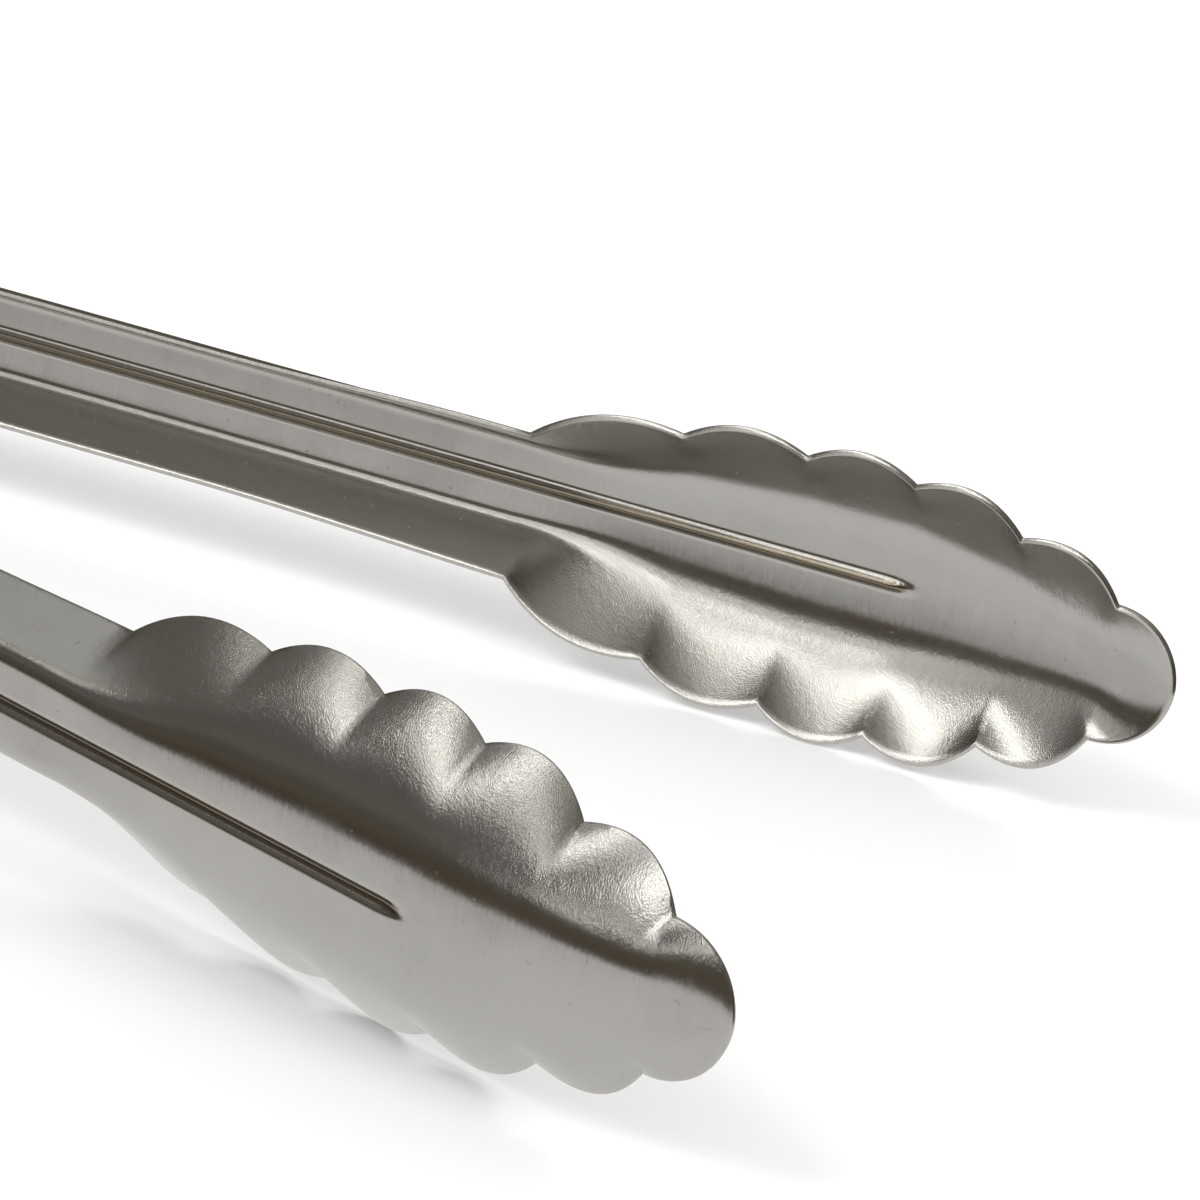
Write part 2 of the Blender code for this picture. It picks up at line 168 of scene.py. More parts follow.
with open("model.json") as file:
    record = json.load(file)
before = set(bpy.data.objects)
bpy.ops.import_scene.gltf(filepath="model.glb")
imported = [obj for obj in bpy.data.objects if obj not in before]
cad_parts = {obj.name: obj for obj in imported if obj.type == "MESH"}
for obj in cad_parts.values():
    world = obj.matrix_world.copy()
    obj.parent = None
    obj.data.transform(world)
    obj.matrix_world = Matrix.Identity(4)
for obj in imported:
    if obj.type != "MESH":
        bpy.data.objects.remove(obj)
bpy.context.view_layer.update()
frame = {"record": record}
HINGE = Vector(frame["record"]["behaviour"]["joints"][0]["pos_m"])


def ease(value, start, end):
    """0 before start, 1 after end, and a smooth change between."""
    share = min(1.0, max(0.0, (value - start) / (end - start)))
    return share * share * (3.0 - 2.0 * share)


def mix(a, b, share):
    return a + (b - a) * share


# Shader helpers and the finishes that several pieces share.


def add_node(tree, kind, **settings):
    node = tree.nodes.new(kind)
    for key, value in settings.items():
        setattr(node, key, value)
    return node


def feed(tree, socket, value):
    """Links an output to the socket, or sets a plain value on it."""
    if isinstance(value, bpy.types.NodeSocket):
        tree.links.new(value, socket)
    elif value is not None:
        socket.default_value = value


def math_node(tree, operation, first, second=None, third=None):
    """A math node whose inputs are either sockets or plain values; gives back its output."""
    node = add_node(tree, "ShaderNodeMath", operation=operation)
    for socket, value in zip(node.inputs, (first, second, third)):
        feed(tree, socket, value)
    return node.outputs[0]


def mix_colours(tree, share, first, second, blend="MIX"):
    """A colour mix whose share and colours are either sockets or plain values."""
    node = add_node(tree, "ShaderNodeMix", data_type="RGBA", blend_type=blend)
    for label, value in (("Factor_Float", share), ("A_Color", first), ("B_Color", second)):
        feed(tree, next(socket for socket in node.inputs if socket.identifier == label), value)
    return next(socket for socket in node.outputs if socket.identifier == "Result_Color")


def stored(tree, name, output="Fac"):
    return add_node(tree, "ShaderNodeAttribute", attribute_name=name).outputs[output]


def shared_group(name, inputs, outputs):
    """An empty shader group with these named inputs and outputs."""
    tree = bpy.data.node_groups.new(name, "ShaderNodeTree")
    for label, kind, value in inputs:
        socket = tree.interface.new_socket(label, in_out="INPUT", socket_type=kind)
        if value is not None:
            socket.default_value = value
    for label, kind in outputs:
        tree.interface.new_socket(label, in_out="OUTPUT", socket_type=kind)
    return tree, add_node(tree, "NodeGroupInput"), add_node(tree, "NodeGroupOutput")


def noise(tree, place, scale, detail, roughness=0.5):
    node = add_node(tree, "ShaderNodeTexNoise")
    tree.links.new(place, node.inputs["Vector"])
    node.inputs["Scale"].default_value = scale
    node.inputs["Detail"].default_value = detail
    node.inputs["Roughness"].default_value = roughness
    return node.outputs["Fac"]


def span(tree, value, low, high, to_low=0.0, to_high=1.0):
    node = add_node(tree, "ShaderNodeMapRange")
    node.clamp = True
    tree.links.new(value, node.inputs["Value"])
    for label, number in (("From Min", low), ("From Max", high), ("To Min", to_low), ("To Max", to_high)):
        node.inputs[label].default_value = number
    return node.outputs["Result"]


# Noise scales per metre, and what the grain, smudges and specks do to the steel.
FINE_GRAIN = 5200.0
COARSE_GRAIN = 900.0
COARSE_SHARE = 0.4
GRAIN_DEPTH = 0.00016
SMUDGES = 45.0
SMUDGE_SPAN = (0.46, 0.72)
SMUDGE_SHADE = 0.22
SMUDGE_DULL = 0.07
SPECKS = 900.0
SPECK_SPAN = (0.68, 0.76)
SPECK_SHADE = 0.25
SPECK_DULL = 0.1
SHADED = 0.86
WORN_SPAN = (0.4, 0.6)
WORN_SHARE = 0.35
WORN_BRIGHT = 1.35
# Painted shade in the groove: the colour is darkened and browned along the groove's middle, standing in for
# the shade in its hollow.
GROOVE_SHADE_SPAN = (0.15, 0.75)
GROOVE_SHADE_TINT = (0.50, 0.44, 0.36, 1.0)


def rolling_grain():
    """Fine scratches that run across the sheet, as rolled and belt polished stainless has."""
    tree, start, end = shared_group(
        "rolling_grain",
        [("Place", "NodeSocketVector", None), ("Stretch", "NodeSocketVector", (1.0, 1.0, 0.03))],
        [("Grain", "NodeSocketFloat")],
    )
    stretched = add_node(tree, "ShaderNodeVectorMath", operation="MULTIPLY")
    tree.links.new(start.outputs["Place"], stretched.inputs[0])
    tree.links.new(start.outputs["Stretch"], stretched.inputs[1])
    fine = noise(tree, stretched.outputs[0], FINE_GRAIN, detail=3.0, roughness=0.6)
    coarse = noise(tree, stretched.outputs[0], COARSE_GRAIN, detail=2.0)
    fine = math_node(tree, "MULTIPLY", fine, 1.0 - COARSE_SHARE)
    tree.links.new(math_node(tree, "MULTIPLY_ADD", coarse, COARSE_SHARE, fine), end.inputs["Grain"])
    return tree


def handling():
    """Soft smudges from hands and washing, and small dull specks."""
    tree, start, end = shared_group(
        "handling",
        [("Place", "NodeSocketVector", None)],
        [("Smudge", "NodeSocketFloat"), ("Specks", "NodeSocketFloat")],
    )
    wide = noise(tree, start.outputs["Place"], SMUDGES, detail=4.0, roughness=0.62)
    tree.links.new(span(tree, wide, *SMUDGE_SPAN), end.inputs["Smudge"])
    small = noise(tree, start.outputs["Place"], SPECKS, detail=2.0)
    tree.links.new(span(tree, small, *SPECK_SPAN), end.inputs["Specks"])
    return tree


def steel(name, colour, roughness, grain_share, grain_bump, stretch, place="lay"):
    """Stainless with its grain, smudges, brighter worn edges and painted shade along the groove."""
    material = bpy.data.materials.new(name)
    material.use_nodes = True
    tree = material.node_tree
    shader = tree.nodes["Principled BSDF"]
    if place == "lay":
        where = stored(tree, "lay", "Vector")
    else:
        where = add_node(tree, "ShaderNodeTexCoord").outputs["Object"]
    grain = add_node(tree, "ShaderNodeGroup", node_tree=GRAIN)
    grain.inputs["Stretch"].default_value = stretch
    hands = add_node(tree, "ShaderNodeGroup", node_tree=HANDLING)
    tree.links.new(where, grain.inputs["Place"])
    tree.links.new(where, hands.inputs["Place"])
    lines, smudge, specks = grain.outputs["Grain"], hands.outputs["Smudge"], hands.outputs["Specks"]

    clean = (*colour, 1.0)
    shaded = (*(SHADED * part for part in colour), 1.0)
    bright = (*(min(1.0, WORN_BRIGHT * part) for part in colour), 1.0)
    shade = math_node(tree, "MULTIPLY", smudge, SMUDGE_SHADE)
    shade = math_node(tree, "MULTIPLY_ADD", specks, SPECK_SHADE, shade)
    worn = math_node(tree, "MULTIPLY", stored(tree, "edge"), span(tree, lines, *WORN_SPAN))
    tint = mix_colours(tree, shade, clean, shaded)
    tint = mix_colours(tree, math_node(tree, "MULTIPLY", worn, WORN_SHARE), tint, bright)
    # Painted shade: the base colour is multiplied by the darker, browner groove tint where the groove is
    # deepest.
    groove_shade = span(tree, stored(tree, "groove"), *GROOVE_SHADE_SPAN)
    tint = mix_colours(tree, groove_shade, tint, GROOVE_SHADE_TINT, blend="MULTIPLY")
    tree.links.new(tint, shader.inputs["Base Color"])

    dull = math_node(tree, "MULTIPLY_ADD", smudge, SMUDGE_DULL, roughness)
    dull = math_node(tree, "MULTIPLY_ADD", lines, grain_share, dull)
    dull = math_node(tree, "MULTIPLY_ADD", specks, SPECK_DULL, dull)
    tree.links.new(dull, shader.inputs["Roughness"])
    shader.inputs["Metallic"].default_value = 1.0
    bump = add_node(tree, "ShaderNodeBump")
    bump.inputs["Strength"].default_value = grain_bump
    bump.inputs["Distance"].default_value = GRAIN_DEPTH
    tree.links.new(lines, bump.inputs["Height"])
    tree.links.new(bump.outputs["Normal"], shader.inputs["Normal"])
    return material


GRAIN = rolling_grain()
HANDLING = handling()
SHEET_STEEL = steel(
    "pressed_stainless",
    (0.50, 0.485, 0.45),
    roughness=0.13,
    grain_share=0.10,
    grain_bump=0.45,
    stretch=(1.0, 1.0, 0.02),
)
RIVET_STEEL = steel(
    "rivet_steel",
    (0.56, 0.55, 0.52),
    roughness=0.2,
    grain_share=0.1,
    grain_bump=0.4,
    stretch=(1.0, 1.0, 1.0),
    place="object",
)
WIRE_STEEL = steel(
    "spring_wire",
    (0.44, 0.43, 0.41),
    roughness=0.22,
    grain_share=0.14,
    grain_bump=0.5,
    stretch=(0.15, 1.0, 1.0),
    place="object",
)


# Each arm's skin: half sections that run from the spine line, w = 0, out to one rim.


def web_height(x):
    """Height of the spine: the heel curves in behind the rivet, and the nose slopes down to the tip."""
    if x < -HEEL_FLAT:
        return WEB_HEIGHT - HEEL_ROUND + sqrt(HEEL_ROUND**2 - (x + HEEL_FLAT) ** 2)
    if x > NOSE_START:
        down_nose = (x - NOSE_START) / (NOSE_LENGTH - TIP_BULGE)
        return WEB_HEIGHT - (WEB_HEIGHT - HEAD_RIM_HEIGHT) * down_nose**2
    return WEB_HEIGHT


def straight_rim(x, ear):
    """The rim's half width behind the neck, with ears that reach out to ear, and its height anywhere."""
    opened = ease(x, *EAR_BLEND)
    widened = ease(x, ARM_LENGTH - WIDENING, ARM_LENGTH)
    half_width = mix(ear, mix(ARM_RIM, NECK_RIM, widened), opened)
    height = mix(EAR_DEEP_SKIRT, ARM_RIM_HEIGHT, ease(x, EAR_BLEND[0], TRIM_END))
    dropped = ease(x - ARM_LENGTH, *RIM_DROP)
    return half_width, mix(height, HEAD_RIM_HEIGHT, dropped)


def head_rim():
    """Rim points of one side of the head: base point, outward direction, share of the lobe and its bulge."""
    notches = [Vector((ARM_LENGTH + HEAD_LENGTH * along, HEAD_RIM * across)) for along, across in NOTCHES]
    points = []
    for start, end, height in zip(notches, notches[1:], SCALLOP_BULGES):
        along = end - start
        out = Vector((-along.y, along.x)).normalized()
        for step in range(SCALLOP_STEPS):
            share = step / SCALLOP_STEPS
            points.append((start + along * share, out, share, height))
    last = notches[-1]
    depth = TIP_LOBE - TIP_BULGE
    for step in range(TIP_STEPS + 1):
        turn = pi / 2 * step / TIP_STEPS
        base = Vector((last.x + depth * sin(turn), last.y * cos(turn)))
        out = Vector((last.y * sin(turn), depth * cos(turn))).normalized()
        points.append((base, out, 0.5, TIP_BULGE * sin(turn) ** 2))
    return points


def straight_stations():
    """Where the sections behind the neck stand: close together round the heel, then evenly to the neck."""
    heel_turn = asin((HEEL - HEEL_FLAT) / HEEL_ROUND)
    count = round(HEEL_ROUND * heel_turn / HEEL_STEP)
    stations = [-HEEL_FLAT - HEEL_ROUND * sin(heel_turn * step / count) for step in range(count, -1, -1)]
    count = round((ARM_LENGTH + HEEL_FLAT) / PLAIN_STEP)
    stations += [mix(-HEEL_FLAT, ARM_LENGTH, step / count) for step in range(1, count)]
    return stations


def sections(ear):
    """Every section of one side, heel to tip.

    Each holds its spine's x, base rim point, rim height, outward direction, share of the lobe and bulge.
    """
    found = []
    for x in straight_stations():
        half_width, height = straight_rim(x, ear)
        found.append((x, Vector((x, half_width)), height, Vector((0.0, 1.0)), 0.0, 0.0))
    for base, out, share, bulge in head_rim():
        spine = base.x
        if spine > NOSE_START:
            done = (spine - NOSE_START) / (NOSE_LENGTH - TIP_BULGE)
            spine = mix(NOSE_START, POLE, done * (2.0 - done))
        found.append((spine, base, straight_rim(base.x, ear)[1], out, share, bulge))
    return found


def head_half_width(x):
    """The head's half width before the scallops bulge: straight from notch to notch, then round the tip."""
    along = (x - ARM_LENGTH) / HEAD_LENGTH
    for (start, low), (end, high) in zip(NOTCHES, NOTCHES[1:]):
        if along <= end:
            return HEAD_RIM * mix(low, high, max(0.0, (along - start) / (end - start)))
    past = min(1.0, HEAD_LENGTH * (along - 1.0) / (TIP_LOBE - TIP_BULGE))
    return HEAD_RIM * NOTCHES[-1][1] * sqrt(1.0 - past * past)


def head_height(x, w, rim_height):
    """Height of the head's skin: the crowned flat, then the fall to the rim."""
    top = web_height(x)
    half_width = head_half_width(x)
    if half_width == 0.0:
        return top
    across = min(1.0, abs(w) / half_width)
    fall = max(0.0, (across - FLAT_SHARE) / (1.0 - FLAT_SHARE))
    return mix(top, rim_height, CROWN_SHARE * across * across + (1.0 - CROWN_SHARE) * fall**FALL_POWER)


def arm_rows(section, ear):
    """Half a channel section, spine first: flat web, fold and straight wall."""
    spine, base, rim_height = section[:3]
    start = Vector((spine, 0.0))
    reach = (base - start).length
    aim = (base - start) / reach
    opened = ease(base.x, *EAR_BLEND)
    corner = min(reach, mix(ear, ARM_CORNER, opened))

    def web(run):
        x = spine + aim.x * run
        return Vector((x, aim.y * run, web_height(x)))

    meet = web(corner)
    rim = Vector((base.x, base.y, rim_height))
    wall = rim - meet
    fold = min(mix(HINGE_FOLD, ARM_FOLD, opened), FOLD_LIMIT * wall.length)
    first = web(corner - fold)
    last = meet + wall.normalized() * fold
    rows = [(web(GROOVE_HALF_WIDTH * row / GROOVE_ROWS), 0.0) for row in range(GROOVE_ROWS)]
    rows += [(web(mix(GROOVE_HALF_WIDTH, corner - fold, row / WEB_ROWS)), 0.0) for row in range(WEB_ROWS)]
    for row in range(FOLD_ROWS + 1):
        part = row / FOLD_ROWS
        rows.append((first.lerp(meet, part).lerp(meet.lerp(last, part), part), 0.0))
    rows += [(last.lerp(rim, row / WALL_ROWS), row / WALL_ROWS) for row in range(1, WALL_ROWS + 1)]
    return rows


def head_rows(section, count):
    """Half a section of the head, spine first, over its rounded fall to the rim."""
    spine, base, rim_height = section[:3]
    runs = [GROOVE_HALF_WIDTH * row / GROOVE_ROWS for row in range(GROOVE_ROWS)]
    reach = (base - Vector((spine, 0.0))).length
    rest = count - GROOVE_ROWS - 1
    runs += [mix(GROOVE_HALF_WIDTH, reach, row / rest) for row in range(rest + 1)]
    flat = mix(FLAT_SHARE, 1.0, FLUTE_START)
    rows = []
    for run in runs:
        place = Vector((spine, 0.0)).lerp(base, run / reach)
        height = head_height(place.x, place.y, rim_height)
        rows.append((Vector((place.x, place.y, height)), max(0.0, (run / reach - flat) / (1.0 - flat))))
    return rows


def half_section(section, ear):
    """Points of one half section before pressing, spine first, each with how far down the wall it lies."""
    rows = arm_rows(section, ear)
    head = ease(section[1].x - ARM_LENGTH, *HEAD_EASE)
    if head == 0.0:
        return rows
    shaped = head_rows(section, len(rows))
    return [(arm[0].lerp(there[0], head), mix(arm[1], there[1], head)) for arm, there in zip(rows, shaped)]


def skin_of(ear, side):
    """The outer skin before pressing: vertices with what the pressing needs, faces, and the boundary loop."""
    columns = sections(ear)
    verts, down, out, lobe, rise, faces, rows = [], [], [], [], [], [], []
    for index, section in enumerate(columns):
        half = half_section(section, ear)

        def new(point, depth, mirror):
            verts.append(Vector((point.x, side * point.z, mirror * point.y)))
            down.append(depth)
            out.append(Vector((section[3].x, 0.0, mirror * section[3].y)))
            lobe.append(section[4])
            rise.append(section[5])
            return len(verts) - 1

        upper = [new(point, depth, 1) for point, depth in half]
        if index == len(columns) - 1:
            lower = upper
        else:
            lower = [upper[0]] + [new(point, depth, -1) for point, depth in half[1:]]
        rows.append((upper, lower))
    for (upper, lower), (next_upper, next_lower) in zip(rows, rows[1:]):
        for here, there, flip in ((upper, next_upper, side > 0), (lower, next_lower, side < 0)):
            for a, b, c, d in zip(here, here[1:], there[1:], there):
                faces.append((a, b, c, d) if flip else (d, c, b, a))
    heel_upper, heel_lower = rows[0]
    loop = [upper[-1] for upper, lower in rows]
    loop += [lower[-1] for upper, lower in reversed(rows[:-1])]
    loop += list(reversed(heel_lower[:-1])) + heel_upper[1:-1]
    neighbour = {}
    for upper, lower in rows:
        neighbour[upper[-1]] = upper[-2]
        neighbour[lower[-1]] = lower[-2]
    for here, there in zip(heel_lower[:-1] + heel_upper[1:-1], rows[1][1][:-1] + rows[1][0][1:-1]):
        neighbour[here] = there
    return verts, (down, out, lobe, rise), faces, loop, neighbour


def thick_sheet(name, ear, side):
    """The unpressed sheet as one closed mesh: outer skin, inner skin, and a slightly rounded cut edge."""
    verts, facts, faces, loop, neighbour = skin_of(ear, side)
    skin = bpy.data.meshes.new(name + "_skin")
    skin.from_pydata([tuple(v) for v in verts], [], faces)
    skin.update()
    normals = [Vector(item.vector) for item in skin.vertex_normals]
    bpy.data.meshes.remove(skin)
    count = len(verts)
    source = list(range(count)) * 2
    points = verts + [v - n * SHEET for v, n in zip(verts, normals)]
    built = list(faces) + [tuple(count + i for i in reversed(face)) for face in faces]
    rings = [loop]
    for step in range(1, EDGE_STEPS):
        turn = pi * step / EDGE_STEPS
        ring = []
        for i in loop:
            away = (verts[i] - verts[neighbour[i]]).normalized()
            centre = verts[i] - normals[i] * (0.5 * SHEET * (1.0 - cos(turn)))
            points.append(centre + away * (EDGE_ROUND * sin(turn)))
            source.append(i)
            ring.append(len(points) - 1)
        rings.append(ring)
    rings.append([count + i for i in loop])
    for ring, following in zip(rings, rings[1:]):
        for a, b, c, d in zip(ring, ring[1:] + ring[:1], following[1:] + following[:1], following):
            built.append((d, c, b, a) if side > 0 else (a, b, c, d))
    mesh = bpy.data.meshes.new(name)
    mesh.from_pydata([tuple(p * MM) for p in points], [], built)
    down, out, lobe, rise = facts
    edge_zone = set(loop)
    put(mesh, "down_wall", "FLOAT", [down[i] for i in source])
    put(mesh, "lobe_share", "FLOAT", [lobe[i] for i in source])
    put(mesh, "lobe_rise", "FLOAT", [rise[i] * MM for i in source])
    put(mesh, "lobe_out", "FLOAT_VECTOR", [part for i in source for part in out[i]])
    put(mesh, "lay", "FLOAT_VECTOR", [part for p in points for part in p * MM])
    # The groove share is also the mask for the painted shade in the groove.
    put(mesh, "groove", "FLOAT", [groove_share(points[i]) for i in range(len(points))])
    put(mesh, "edge", "FLOAT", [1.0 if i in edge_zone else 0.0 for i in source])
    shape = bmesh.new()
    shape.from_mesh(mesh)
    bmesh.ops.recalc_face_normals(shape, faces=shape.faces)
    shape.to_mesh(mesh)
    shape.free()
    return mesh


def groove_share(point):
    """How deep in the pressed groove a point of the arm lies, 1 along its middle."""
    across = min(1.0, abs(point.z) / GROOVE_HALF_WIDTH)
    along = ease(point.x, GROOVE_START, GROOVE_START + 3 * GROOVE_RUN_OUT)
    along *= 1.0 - ease(point.x, GROOVE_END - GROOVE_RUN_OUT, GROOVE_END)
    return along * 0.5 * (1.0 + cos(pi * across))


def put(mesh, name, kind, values):
    attribute = mesh.attributes.new(name, kind, "POINT")
    attribute.data.foreach_set("vector" if kind == "FLOAT_VECTOR" else "value", values)


# Geometry node trees.


def geometry_tree(name, sizes):
    """A tree with a mesh input and output, and these named sizes."""
    tree = bpy.data.node_groups.new(name, "GeometryNodeTree")
    tree.interface.new_socket("Geometry", in_out="INPUT", socket_type="NodeSocketGeometry")
    tree.interface.new_socket("Geometry", in_out="OUTPUT", socket_type="NodeSocketGeometry")
    for label, kind in sizes:
        tree.interface.new_socket(label, in_out="INPUT", socket_type=kind)
    return tree, add_node(tree, "NodeGroupInput"), add_node(tree, "NodeGroupOutput")


def named(tree, name, kind="FLOAT"):
    node = add_node(tree, "GeometryNodeInputNamedAttribute", data_type=kind)
    node.inputs["Name"].default_value = name
    return node.outputs["Attribute"]


def scaled(tree, vector, factor):
    node = add_node(tree, "ShaderNodeVectorMath", operation="SCALE")
    tree.links.new(vector, node.inputs[0])
    tree.links.new(factor, node.inputs["Scale"])
    return node.outputs[0]


def vector_sum(tree, first, second):
    node = add_node(tree, "ShaderNodeVectorMath", operation="ADD")
    tree.links.new(first, node.inputs[0])
    tree.links.new(second, node.inputs[1])
    return node.outputs[0]


def finish_tree(tree, start, end, geometry):
    """Ends a tree in Realize Instances and Set Material."""
    real = add_node(tree, "GeometryNodeRealizeInstances")
    coat = add_node(tree, "GeometryNodeSetMaterial")
    tree.links.new(geometry, real.inputs["Geometry"])
    tree.links.new(real.outputs["Geometry"], coat.inputs["Geometry"])
    tree.links.new(start.outputs["Material"], coat.inputs["Material"])
    tree.links.new(coat.outputs["Geometry"], end.inputs["Geometry"])


def pressing_tree():
    """Presses the scallops out of the head's wall and the groove into the web."""
    sizes = [
        ("Bulge", "NodeSocketFloat"),
        ("Bulge Drop", "NodeSocketFloat"),
        ("Bulge Fade", "NodeSocketFloat"),
        ("Groove Depth", "NodeSocketFloat"),
        ("Groove Half Width", "NodeSocketFloat"),
        ("Groove Start", "NodeSocketFloat"),
        ("Groove End", "NodeSocketFloat"),
        ("Run Out", "NodeSocketFloat"),
        ("Inward", "NodeSocketVector"),
        ("Material", "NodeSocketMaterial"),
    ]
    tree, start, end = geometry_tree("arm_pressing", sizes)
    given = start.outputs
    share = named(tree, "lobe_share")
    arch = math_node(tree, "MULTIPLY", share, math_node(tree, "SUBTRACT", 1.0, share))
    arch = math_node(tree, "MULTIPLY", math_node(tree, "MULTIPLY", arch, 4.0), named(tree, "lobe_rise"))
    faded = math_node(tree, "POWER", named(tree, "down_wall"), given["Bulge Fade"])
    push = math_node(tree, "MULTIPLY", math_node(tree, "MULTIPLY", arch, faded), given["Bulge"])
    outward = scaled(tree, named(tree, "lobe_out", "FLOAT_VECTOR"), push)
    lowered = scaled(tree, given["Inward"], math_node(tree, "MULTIPLY", push, given["Bulge Drop"]))
    place = add_node(tree, "ShaderNodeSeparateXYZ")
    tree.links.new(named(tree, "lay", "FLOAT_VECTOR"), place.inputs[0])
    off = math_node(tree, "ABSOLUTE", place.outputs["Z"])
    off = math_node(tree, "MINIMUM", math_node(tree, "DIVIDE", off, given["Groove Half Width"]), 1.0)
    swing = math_node(tree, "COSINE", math_node(tree, "MULTIPLY", off, pi))
    pressed = math_node(tree, "MULTIPLY_ADD", swing, 0.5, 0.5)
    begun = risen(tree, place.outputs["X"], given["Groove Start"], given["Run Out"])
    pressed = math_node(tree, "MULTIPLY", begun, pressed)
    left = math_node(tree, "SUBTRACT", given["Groove End"], place.outputs["X"])
    pressed = math_node(tree, "MULTIPLY", risen(tree, left, 0.0, given["Run Out"]), pressed)
    sunk = scaled(tree, given["Inward"], math_node(tree, "MULTIPLY", pressed, given["Groove Depth"]))
    moved = add_node(tree, "GeometryNodeSetPosition")
    tree.links.new(given["Geometry"], moved.inputs["Geometry"])
    tree.links.new(vector_sum(tree, vector_sum(tree, outward, lowered), sunk), moved.inputs["Offset"])
    finish_tree(tree, start, end, moved.outputs["Geometry"])
    return tree


def risen(tree, value, start, run):
    """A smooth rise from 0 at start to 1 one run further on."""
    node = add_node(tree, "ShaderNodeMapRange", interpolation_type="SMOOTHSTEP")
    tree.links.new(value, node.inputs["Value"])
    feed(tree, node.inputs["From Min"], start)
    tree.links.new(math_node(tree, "ADD", start, run), node.inputs["From Max"])
    return node.outputs["Result"]


def wire_tree():
    """Draws a round wire along the path it is given."""
    sizes = [
        ("Wire Radius", "NodeSocketFloat"),
        ("Facets", "NodeSocketInt"),
        ("Material", "NodeSocketMaterial"),
    ]
    tree, start, end = geometry_tree("round_wire", sizes)
    line = add_node(tree, "GeometryNodeMeshToCurve")
    ring = add_node(tree, "GeometryNodeCurvePrimitiveCircle")
    wire = add_node(tree, "GeometryNodeCurveToMesh")
    smooth = add_node(tree, "GeometryNodeSetShadeSmooth")
    wire.inputs["Fill Caps"].default_value = True
    tree.links.new(start.outputs["Geometry"], line.inputs["Mesh"])
    tree.links.new(start.outputs["Wire Radius"], ring.inputs["Radius"])
    tree.links.new(start.outputs["Facets"], ring.inputs["Resolution"])
    tree.links.new(line.outputs["Curve"], wire.inputs["Curve"])
    tree.links.new(ring.outputs["Curve"], wire.inputs["Profile Curve"])
    tree.links.new(wire.outputs["Mesh"], smooth.inputs["Geometry"])
    finish_tree(tree, start, end, smooth.outputs["Geometry"])
    return tree


def use_tree(piece, tree, values):
    """Adds the tree as a modifier and sets its named inputs."""
    modifier = piece.modifiers.new(tree.name, "NODES")
    modifier.node_group = tree
    inputs = [item for item in tree.interface.items_tree if item.in_out == "INPUT"]
    identifiers = {item.name: item.identifier for item in inputs}
    for label, value in values.items():
        modifier[identifiers[label]] = value


def settle(piece, place):
    """Makes the piece one plain mesh with its modifiers applied, moved into place."""
    bpy.context.view_layer.update()
    graph = bpy.context.evaluated_depsgraph_get()
    shaped = piece.evaluated_get(graph)
    mesh = bpy.data.meshes.new_from_object(shaped, preserve_all_data_layers=True, depsgraph=graph)
    piece.modifiers.clear()
    piece.data = mesh
    mesh.name = piece.name
    mesh.transform(place)
    mesh.shade_smooth()
    mesh.set_sharp_from_angle(angle=SHARP)


def object_from(name, mesh):
    piece = bpy.data.objects.new(name, mesh)
    bpy.context.collection.objects.link(piece)
    return piece


def mesh_from(name, shape):
    mesh = bpy.data.meshes.new(name)
    shape.to_mesh(mesh)
    shape.free()
    return mesh


def prism(name, outline, half_width):
    """A closed prism along Z from an outline in the arm's x and h, in mm."""
    shape = bmesh.new()
    face = shape.faces.new([shape.verts.new((x * MM, h * MM, -half_width * MM)) for x, h in outline])
    swept = bmesh.ops.extrude_face_region(shape, geom=[face])
    moved = [item for item in swept["geom"] if isinstance(item, bmesh.types.BMVert)]
    bmesh.ops.translate(shape, vec=(0.0, 0.0, 2 * half_width * MM), verts=moved)
    bmesh.ops.recalc_face_normals(shape, faces=shape.faces)
    return object_from(name, mesh_from(name, shape))


def turned(name, profile):
    """A piece turned about Z from a profile of (radius, height) points in mm."""
    shape = bmesh.new()
    points = [shape.verts.new((radius * MM, 0.0, height * MM)) for radius, height in profile]
    closed = profile[0][0] > 0.0
    pairs = list(zip(points, points[1:])) + ([(points[-1], points[0])] if closed else [])
    bmesh.ops.spin(
        shape,
        geom=points + [shape.edges.new(pair) for pair in pairs],
        axis=(0, 0, 1),
        cent=(0, 0, 0),
        angle=2 * pi,
        steps=TURNED_STEPS,
        use_merge=True,
    )
    bmesh.ops.remove_doubles(shape, verts=shape.verts, dist=MERGE)
    bmesh.ops.recalc_face_normals(shape, faces=shape.faces)
    return object_from(name, mesh_from(name, shape))


def cut(piece, cutter, name):
    cutter.hide_render = True
    cutter.display_type = "WIRE"
    modifier = piece.modifiers.new(name, "BOOLEAN")
    modifier.operation = "DIFFERENCE"
    modifier.object = cutter


def ear_outline(stop_corner):
    """Lower edge of an arm's ears, heel to rim, with the stop's corner behind the rivet if it has one."""
    edge = [(-HEEL - TRIM_MARGIN, HEEL_EDGE_HEIGHT), (-EAR_BACK, EAR_BACK_HEIGHT)]
    first, last = EAR_TURN
    if stop_corner:
        reach = 2 * HALF_OPENING
        depth = (WEB_INSIDE - STOP_GAP - STOP_BACK * sin(reach)) / cos(reach)
        edge += [(-STOP_BACK, -depth), (-STOP_BACK + STOP_LAND, -depth)]
        first = STOP_TURN
    turns = [mix(first, last, step / EAR_STEPS) for step in range(EAR_STEPS + 1)]
    edge += [(EAR_ROUND * cos(turn), EAR_ROUND * sin(turn)) for turn in turns]
    return edge + [(EAR_FRONT, EAR_FRONT_HEIGHT), (TRIM_END, ARM_RIM_HEIGHT - TRIM_CLEARANCE)]


